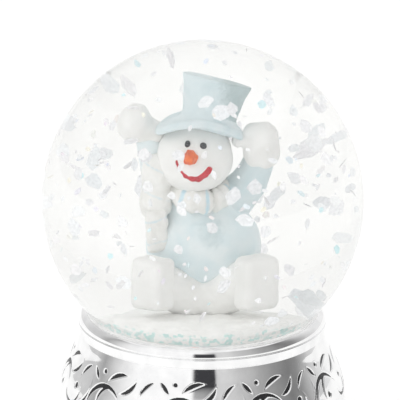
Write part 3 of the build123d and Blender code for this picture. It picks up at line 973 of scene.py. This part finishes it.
def snowman():
    """Every region of the figure, as separate sculpted pieces."""
    white = paint_material("white_paint", (0.9, 0.9, 0.885), (0.85, 0.85, 0.83))
    figure_piece("snowman_head", head_shape, white, "white_paint", ["head"])
    top_hat()
    coat_and_sleeves()
    white_regions = (
        ("left_mitten", hand_left_shape, "mitten_left"),
        ("right_mitten", hand_right_shape, "mitten_right"),
        ("left_boot", boot_left_shape, "boot_left"),
        ("right_boot", boot_right_shape, "boot_right"),
        ("snowman_legs", legs_shape, "legs"),
    )
    for name, shape, packed in white_regions:
        figure_piece(name, shape, white, "white_paint", [packed])
    scarf_pieces()
    face_details()
    snow_bed()


# ---- Flakes -------------------------------------------------------------------------
# The liquid turns about this outline, so that no flake may come inside it: (height below which, radius).
FIGURE_CLEARANCE = ((39.2, 11.8), (44.9, 8.0), (55.0, 10.4), (58.6, 6.8))
LOWEST_DRIFT = 28.5
GUTTER = (12.1, 13.0)  # radii between which flakes settle round the mound


def clear_radius(height):
    """Radius of the space that the figure needs at a height."""
    for limit, radius in FIGURE_CLEARANCE:
        if height < limit:
            return radius
    return 0.0


def film_flake(rng, place_mm, size, axes):
    """Vertices and faces of one torn bit of film: an uneven outline, a slight curl, two skins."""
    corners = rng.integers(6, 11)
    angles = (np.arange(corners) + rng.uniform(-0.3, 0.3, corners)) * 2 * math.pi / corners
    reach = size * rng.uniform(0.65, 1.0, corners)
    stretch = rng.uniform(0.55, 1.0)
    x, y = reach * np.cos(angles), reach * np.sin(angles) * stretch
    curl = rng.uniform(-0.12, 0.12) / size
    half_thickness = 0.025
    outline = np.stack([x, y, curl * x**2], -1)
    middle = np.array([[x.mean(), y.mean(), 0]])
    ring = np.vstack([outline, middle])
    both = np.vstack([ring + (0, 0, half_thickness), ring - (0, 0, half_thickness)])
    vertices = both @ axes.T + place_mm
    n, faces = corners, []
    for k in range(n):
        j = (k + 1) % n
        faces.append((k, j, n))
        faces.append((j + n + 1, k + n + 1, 2 * n + 1))
        faces.append((k, k + n + 1, j + n + 1, j))
    return vertices, faces


def flake_cloud(name, seed, count, sizes, made, slot, replaces, places):
    """One object of many flakes, each with its own tint; sizes are the smallest and largest radius."""
    rng = np.random.default_rng(seed)
    vertices, faces, tints = [], [], []
    for _ in range(count):
        size = sizes[0] + (sizes[1] - sizes[0]) * rng.uniform() ** 1.6
        place_mm, axes = places(rng, size)
        points, sides = film_flake(rng, place_mm, size, axes)
        start = len(vertices)
        vertices += points.tolist()
        faces += [[v + start for v in side] for side in sides]
        tints += [rng.uniform()] * len(points)
    piece = link_mesh(name, vertices, faces, smooth=False)
    paint_mask(piece, "tint", tints)
    wear(piece, made)
    stand_in(piece, "swirl", slot, replaces)


def drifting(rng, size):
    """A place in the liquid outside the figure's clearance, and an attitude more face on than edge on."""
    limit = INNER_RADIUS - 0.25 - size
    while True:
        place_mm = rng.uniform(-1, 1, 3) * limit
        if np.linalg.norm(place_mm) > limit:
            continue
        place_mm[2] += BALL_Z
        if place_mm[2] < LOWEST_DRIFT:
            continue
        reach = math.hypot(place_mm[0], place_mm[1])
        clear = max(clear_radius(place_mm[2] - size), clear_radius(place_mm[2] + size))
        if reach > clear + size:
            break
    facing = Vector(rng.normal(size=3) + (0, -1.5, 0.5)).normalized()
    spin = Matrix.Rotation(rng.uniform(0, 2 * math.pi), 3, "Z")
    return place_mm, np.array(facing.to_track_quat("Z", "Y").to_matrix() @ spin)


def settled(rng, size):
    """A place in the gutter between the mound and the glass, lying nearly flat."""
    inner = INNER_RADIUS - 0.15
    reach = rng.uniform(*GUTTER)
    angle = rng.uniform(0, 2 * math.pi)
    floor = BALL_Z - math.sqrt(inner**2 - (reach + 0.55) ** 2)
    height = floor + rng.uniform(0.05, 0.35)
    place_mm = np.array([reach * math.cos(angle), reach * math.sin(angle), height])
    tilt = Matrix.Rotation(angle, 3, "Z") @ Matrix.Rotation(-math.asin(reach / inner) * 0.9, 3, "Y")
    rock = Matrix.Rotation(rng.uniform(-0.3, 0.3), 3, "X")
    spin = Matrix.Rotation(rng.uniform(0, 6.28), 3, "Z")
    return place_mm, np.array(tilt @ rock @ spin)


def flakes():
    """The three kinds of flakes: drifting white, drifting iridescent, and settled teal."""
    white_tints = [(0.0, (0.8, 0.81, 0.82)), (0.5, (0.95, 0.95, 0.945)), (1.0, (0.87, 0.89, 0.9))]
    shine_tints = [(0.0, (0.55, 0.88, 0.9)), (0.3, (0.8, 0.93, 0.95)), (0.5, (0.93, 0.82, 0.92))]
    shine_tints += [(0.75, (0.97, 0.94, 0.78)), (1.0, (0.78, 0.84, 0.97))]
    teal_tints = [(0.0, (0.6, 0.86, 0.82)), (0.4, (0.88, 0.94, 0.93)), (1.0, (0.95, 0.95, 0.95))]
    white = flake_material("white_film", white_tints, 0.1)
    shine = flake_material("iridescent_film", shine_tints, 0.5)
    teal = flake_material("settled_film", teal_tints, 0.5)
    clouds = (
        ("drifting_white_flakes", 5, 340, (0.3, 1.45), white, "white_film", "white_flakes", drifting),
        ("drifting_glitter", 6, 90, (0.3, 0.7), shine, "iridescent_film", "glitter_flakes", drifting),
        ("settled_glitter", 7, 130, (0.16, 0.4), teal, "iridescent_film", "settled_flakes", settled),
    )
    for cloud in clouds:
        flake_cloud(*cloud)


# ---- Floor, light, camera -----------------------------------------------------------
def stage_floor():
    """A large white table top."""
    half = 3000.0
    corners = [(x * half, y * half, 0) for x, y in ((-1, -1), (1, -1), (1, 1), (-1, 1))]
    floor = link_mesh("table", corners, [(0, 1, 2, 3)])
    made, tree, shader, _ = material("white_table")
    grain = noise(tree, place(tree), 0.05, detail=3)
    feed(shader, "Base Color", ramp(tree, grain, [(0.3, 0.93), (0.7, 0.95)]))
    glow = {"Emission Color": (1, 1, 1, 1), "Emission Strength": 0.21}
    set_inputs(shader, {"Roughness": 0.9, "Specular IOR Level": 0.0, **glow})
    wear(floor, made)


# The room's grey by direction: degrees from the camera, to the viewer's right.
CARDS = [(-150, 0.83), (-122, 0.68), (-108, 0.65), (-96, 0.41), (-76, 0.85), (-58, 1.08), (0, 1.08)]
CARDS += [(10, 0.72), (20, 0.76), (35, 0.6), (58, 0.39), (82, 0.22), (92, 0.28), (110, 0.65), (130, 0.91)]


def studio_world():
    """White room with grey-graded cards and a dark gap on the camera's side, for the metal to mirror."""
    world = bpy.data.worlds.new("studio")
    bpy.context.scene.world = world
    world.use_nodes = True
    tree = world.node_tree
    background, output = tree.nodes["Background"], tree.nodes["World Output"]
    direction = node(tree, "ShaderNodeTexCoord").outputs["Generated"]
    parts = node(tree, "ShaderNodeSeparateXYZ")
    tree.links.new(direction, parts.inputs[0])
    x, y, z = parts.outputs
    azimuth = arithmetic(tree, "ARCTAN2", x, arithmetic(tree, "MULTIPLY", y, -1.0))
    turn_share = arithmetic(tree, "MULTIPLY_ADD", azimuth, 1 / (2 * math.pi), 0.5)
    inner = [(at_azimuth(degrees), grey) for degrees, grey in CARDS]
    cards = ramp(tree, turn_share, [(0.0, 0.95), *inner, (1.0, 0.97)])
    level = ramp(tree, z, [(at_height(41), 0.0), (at_height(46), 1.0)])
    edges = [(at_azimuth(-9), 0.0), (at_azimuth(-6.5), 1.0), (at_azimuth(11.5), 1.0), (at_azimuth(13), 0.0)]
    low = ramp(tree, z, [(at_height(22), 1.0), (at_height(34), 0.0)])
    gap = arithmetic(tree, "MULTIPLY", ramp(tree, turn_share, edges), low)
    sky = mix(tree, gap, mix(tree, level, cards, (1.0, 1.0, 1.0)), (0.055, 0.055, 0.06))
    path = node(tree, "ShaderNodeLightPath")
    through = mix(tree, path.outputs["Is Transmission Ray"], sky, (0.98, 0.98, 0.975))
    seen = mix(tree, path.outputs["Is Camera Ray"], through, (1.0, 1.0, 1.0))
    soft = mix(tree, path.outputs["Is Diffuse Ray"], seen, (0.85, 0.85, 0.845))
    tree.links.new(soft, background.inputs["Color"])
    set_inputs(background, {"Strength": 1.0})
    tree.links.new(background.outputs[0], output.inputs["Surface"])


def at_azimuth(degrees):
    """Place on the world's ramp of a direction so many degrees from the camera, to the viewer's right."""
    return 0.5 + degrees / 360


def at_height(degrees):
    """Place on the world's ramp of a direction so many degrees above the level."""
    return math.sin(math.radians(degrees))


def soft_light(name, place_mm, size_mm, power):
    """A square soft box that faces the ball."""
    data = bpy.data.lights.new(name, "AREA")
    data.size = size_mm * MM
    data.energy = power
    lamp = bpy.data.objects.new(name, data)
    bpy.context.scene.collection.objects.link(lamp)
    lamp.location = Vector(place_mm) * MM
    aim = Vector((0, 0, BALL_Z * MM)) - lamp.location
    lamp.rotation_euler = aim.to_track_quat("-Z", "Y").to_euler()
    lamp.visible_glossy = False
    lamp.visible_camera = False
    lamp.visible_transmission = False


def camera():
    """Long lens, a little above the ball's middle, with the picture turned clockwise by a trace."""
    distance, elevation, roll = 450.0, 17.0, 0.3
    aside, above = -0.391, 0.07  # how far the aim lies from the ball's centre
    data = bpy.data.cameras.new("camera")
    data.sensor_width = 36.0
    data.lens = 289.98
    data.clip_start, data.clip_end = 0.01, 20
    view = bpy.data.objects.new("camera", data)
    bpy.context.scene.collection.objects.link(view)
    tilt = math.radians(elevation)
    forward = Vector((0, math.cos(tilt), -math.sin(tilt)))
    right = Vector((1, 0, 0))
    upward = right.cross(forward)
    centre = Vector((0, 0, BALL_Z))
    eye = centre - forward * distance
    aim = centre + right * aside + upward * above
    ahead = (aim - eye).normalized()
    side = ahead.cross(Vector((0, 0, 1))).normalized()
    top = side.cross(ahead)
    turn_by = Matrix.Rotation(math.radians(-roll), 3, ahead)
    side, top = turn_by @ side, turn_by @ top
    rotation = Matrix((side, top, -ahead)).transposed()
    view.matrix_world = Matrix.Translation(eye * MM) @ rotation.to_4x4()
    bpy.context.scene.camera = view


def studio():
    """Floor, surroundings, key light, colour management and camera."""
    stage_floor()
    studio_world()
    soft_light("key", (-300, -220, 330), 260, 0.38)
    scene = bpy.context.scene
    scene.view_settings.view_transform = "Standard"
    scene.cycles.transparent_max_bounces = 32
    camera()


# ---- Assembly -----------------------------------------------------------------------
glass_globe()
liquid_fill()
plated_base()
hidden_pieces()
snowman()
flakes()
studio()
